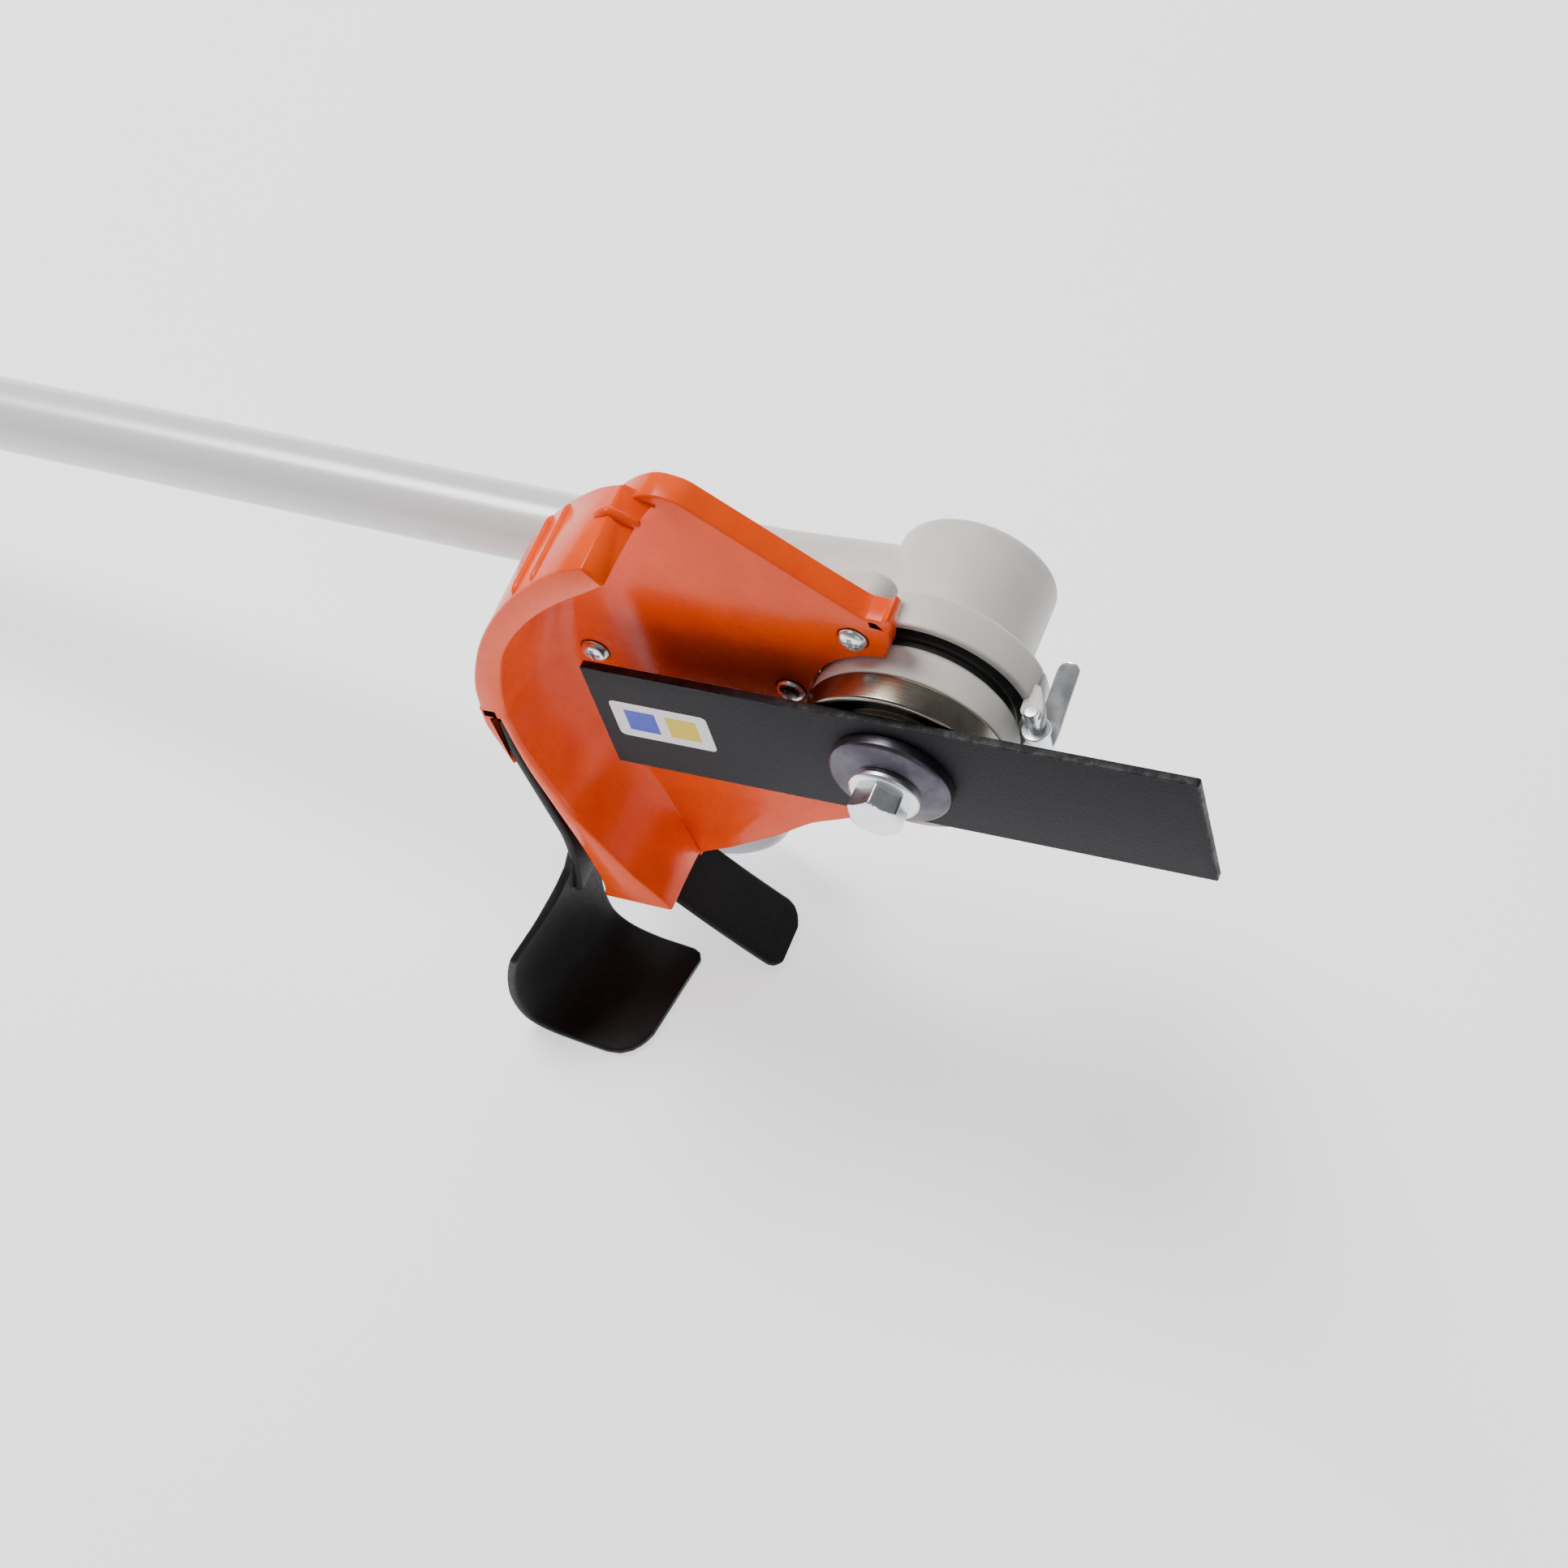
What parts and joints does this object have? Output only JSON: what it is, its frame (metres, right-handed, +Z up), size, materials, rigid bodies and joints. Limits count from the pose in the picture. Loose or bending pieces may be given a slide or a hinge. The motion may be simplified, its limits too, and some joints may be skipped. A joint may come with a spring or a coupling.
{
  "type": "edger attachment for a brush cutter",
  "caption": "Edger head with a straight blade, orange guard, rubber flap, guide wheel and gear case on a straight drive tube, lying on the floor.",
  "frame": {"origin": "middle of the object's box at the floor, in the stance it lies in", "axes": "+Z up, +X along the length from the tube's free end to the blade's tip, -Y out of the blade bolt's side"},
  "size_m": [0.985, 0.1278, 0.2523],
  "materials": {
    "orange_paint": "glossy orange moulding",
    "black_blade": "matt black blade steel",
    "cast_paint": "light grey painted casting",
    "bright_zinc": "bright zinc plated steel",
    "turned_steel": "turned steel",
    "dark_steel": "dark oxide steel",
    "gear_steel": "machined steel",
    "white_tube": "white painted tube",
    "black_rubber": "black rubber",
    "black_nylon": "black nylon",
    "pale_nylon": "pale nylon"
  },
  "bodies": {
    "head": {"gear_case": "cast_paint", "bearing_housing": "cast_paint", "housing_screw_1": "dark_steel", "housing_screw_2": "dark_steel", "housing_screw_3": "dark_steel", "oil_seal": "black_rubber", "output_bearing": "gear_steel", "bearing_circlip": "dark_steel", "end_bearing": "gear_steel", "input_bearing_1": "gear_steel", "input_bearing_2": "gear_steel", "grease_plug": "bright_zinc", "clamp_screw": "bright_zinc", "locating_screw": "bright_zinc", "drive_tube": "white_tube", "shaft_bush_1": "black_nylon", "shaft_bush_2": "black_nylon", "shaft_bush_3": "black_nylon"},
    "output": {"spindle": "gear_steel", "spindle_gear": "gear_steel", "output_flange": "turned_steel", "blade": "black_blade", "cup_washer": "dark_steel", "blade_bolt": "bright_zinc"},
    "input": {"pinion": "gear_steel", "pinion_shaft": "gear_steel", "drive_shaft": "gear_steel", "shaft_coupler": "gear_steel"},
    "swing": {"clamp_ring": "cast_paint", "guard": "orange_paint", "guard_screw_1": "bright_zinc", "guard_screw_2": "bright_zinc", "arm_screw_1": "bright_zinc", "arm_screw_2": "bright_zinc", "arm_nut_1": "bright_zinc", "arm_nut_2": "bright_zinc", "rubber_flap": "black_rubber", "wheel_arm": "dark_steel", "wheel_axle": "bright_zinc", "wheel_spacer": "bright_zinc", "wheel_nut": "bright_zinc"},
    "wheel": {"guide_wheel": "pale_nylon"},
    "lever": {"clamp_lever": "bright_zinc"}
  },
  "joints": [
    {"name": "blade_spin", "type": "hinge", "parent": "head", "child": "output", "pos_m": [0.3878, -0.0199, 0.172], "axis": [0, -1, 0], "continuous": true},
    {"name": "drive_spin", "type": "hinge", "parent": "head", "child": "input", "pos_m": [0.3878, 0.0425, 0.172], "axis": [-0.9839, 0, -0.1788], "continuous": true},
    {"name": "guard_tilt", "type": "hinge", "parent": "head", "child": "swing", "pos_m": [0.3878, 0.0161, 0.172], "axis": [0, -1, 0], "range_deg": [-15, 20]},
    {"name": "wheel_spin", "type": "hinge", "parent": "swing", "child": "wheel", "pos_m": [0.29351, 0.0301, 0.045], "axis": [0, -1, 0], "continuous": true},
    {"name": "lever_turn", "type": "hinge", "parent": "swing", "child": "lever", "pos_m": [0.42509, 0.0051, 0.18075], "axis": [-0.2284, 0, 0.9736], "range_deg": [-90, 0]}
  ],
  "couplings": [
    {"joint": "drive_spin", "follows": "blade_spin", "ratio": -1.3333}
  ]
}
